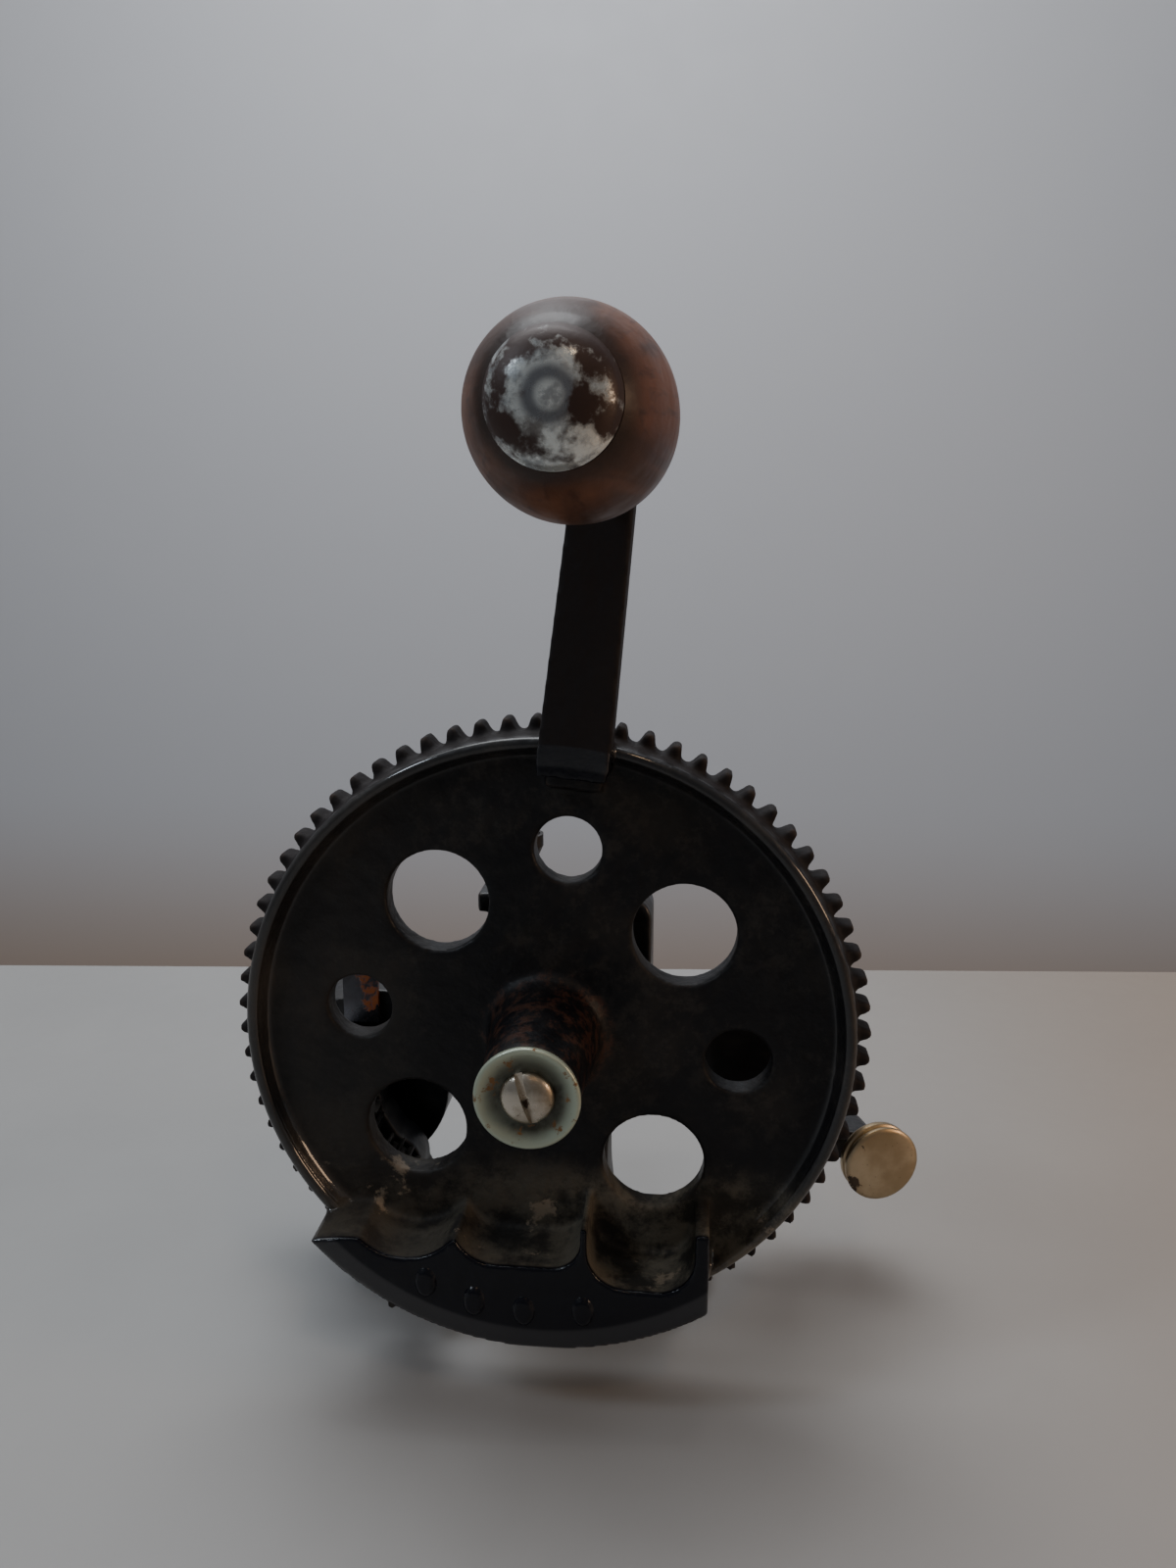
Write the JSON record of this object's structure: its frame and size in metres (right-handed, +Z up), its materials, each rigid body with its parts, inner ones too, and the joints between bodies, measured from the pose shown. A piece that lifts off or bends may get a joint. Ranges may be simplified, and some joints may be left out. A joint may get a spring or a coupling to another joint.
{
  "type": "hand-cranked pencil pointing machine",
  "caption": "Desk machine for pointing pencils: a crank wheel with a wooden grip gears up a milling cutter, and a sliding chuck feeds the pencil to it.",
  "frame": {"origin": "on the underside of the foot, directly below the crank wheel's axle, midway through the column", "axes": "+Z up, -Y towards the crank side, +X towards the side the pencil goes in"},
  "size_m": [0.186, 0.1733, 0.2365],
  "materials": {
    "japanned_iron": "black japan over cast iron, worn",
    "wheel_iron": "black japan, dusty, with dark bare teeth",
    "steel": "turned steel",
    "cutter_steel": "hardened and ground",
    "nickel": "old nickel plate",
    "brass": "dull brass",
    "wood": "red-brown stain under shellac"
  },
  "bodies": {
    "frame": {"frame_casting": "japanned_iron", "stub_axle": "steel", "axle_washer": "steel", "axle_nut": "steel", "cup_washer": "nickel", "axle_screw": "steel", "oil_cup": "japanned_iron", "lay_bush": "brass", "spindle_bush": "brass", "idler_stud": "steel", "cutter_guard": "japanned_iron", "guard_screws": "steel", "lid_pin": "steel", "chip_plate": "nickel", "chip_plate_screw": "steel"},
    "crank": {"crank_wheel": "wheel_iron", "hub_bush": "brass", "grip_spindle": "steel", "grip_washer": "nickel", "grip_cap": "nickel"},
    "grip": {"crank_grip": "wood"},
    "lay": {"lay_shaft": "steel", "wheel_pinion": "steel", "lay_gear": "steel", "lay_collar": "steel"},
    "idler": {"idler_gear": "steel"},
    "cutter": {"cutter_spindle": "steel", "spindle_gear": "steel", "milling_cutter": "cutter_steel", "cutter_nut": "steel"},
    "lid": {"guard_lid": "japanned_iron", "lid_knob": "nickel"},
    "carriage": {"carriage": "japanned_iron", "guide_rods": "steel", "rod_screws": "steel", "knob_stem": "nickel", "pull_knob": "nickel"},
    "chuck": {"chuck_tube": "steel", "chuck_jaws": "steel"},
    "collet": {"collet_nut": "nickel"}
  },
  "joints": [
    {"name": "crank_spin", "type": "hinge", "parent": "frame", "child": "crank", "pos_m": [0, -0.03, 0.092], "axis": [0, -1, 0], "continuous": true},
    {"name": "grip_spin", "type": "hinge", "parent": "crank", "child": "grip", "pos_m": [0.01449, -0.09, 0.22119], "axis": [0, -1, 0], "continuous": true},
    {"name": "lay_spin", "type": "hinge", "parent": "frame", "child": "lay", "pos_m": [-0.03709, 0, 0.02225], "axis": [0, -1, 0], "continuous": true},
    {"name": "idler_spin", "type": "hinge", "parent": "frame", "child": "idler", "pos_m": [-0.04739, 0, 0.03939], "axis": [0, -1, 0], "continuous": true},
    {"name": "cutter_spin", "type": "hinge", "parent": "frame", "child": "cutter", "pos_m": [-0.05769, 0, 0.05653], "axis": [0, -1, 0], "continuous": true},
    {"name": "lid_swing", "type": "hinge", "parent": "frame", "child": "lid", "pos_m": [-0.08669, 0.027, 0.05653], "axis": [0, -1, 0], "range_deg": [0, 100]},
    {"name": "carriage_slide", "type": "slide", "parent": "frame", "child": "carriage", "axis": [1, 0, 0], "range_m": [0, 0.02]},
    {"name": "chuck_spin", "type": "hinge", "parent": "carriage", "child": "chuck", "pos_m": [0.05, 0.0235, 0.05653], "axis": [1, 0, 0], "continuous": true},
    {"name": "collet_turn", "type": "hinge", "parent": "chuck", "child": "collet", "pos_m": [0.07, 0.0235, 0.05653], "axis": [1, 0, 0], "range_deg": [0, 270]}
  ],
  "couplings": [
    {"joint": "lay_spin", "follows": "crank_spin", "ratio": -10.286},
    {"joint": "idler_spin", "follows": "crank_spin", "ratio": 10.286},
    {"joint": "cutter_spin", "follows": "crank_spin", "ratio": -10.286}
  ]
}
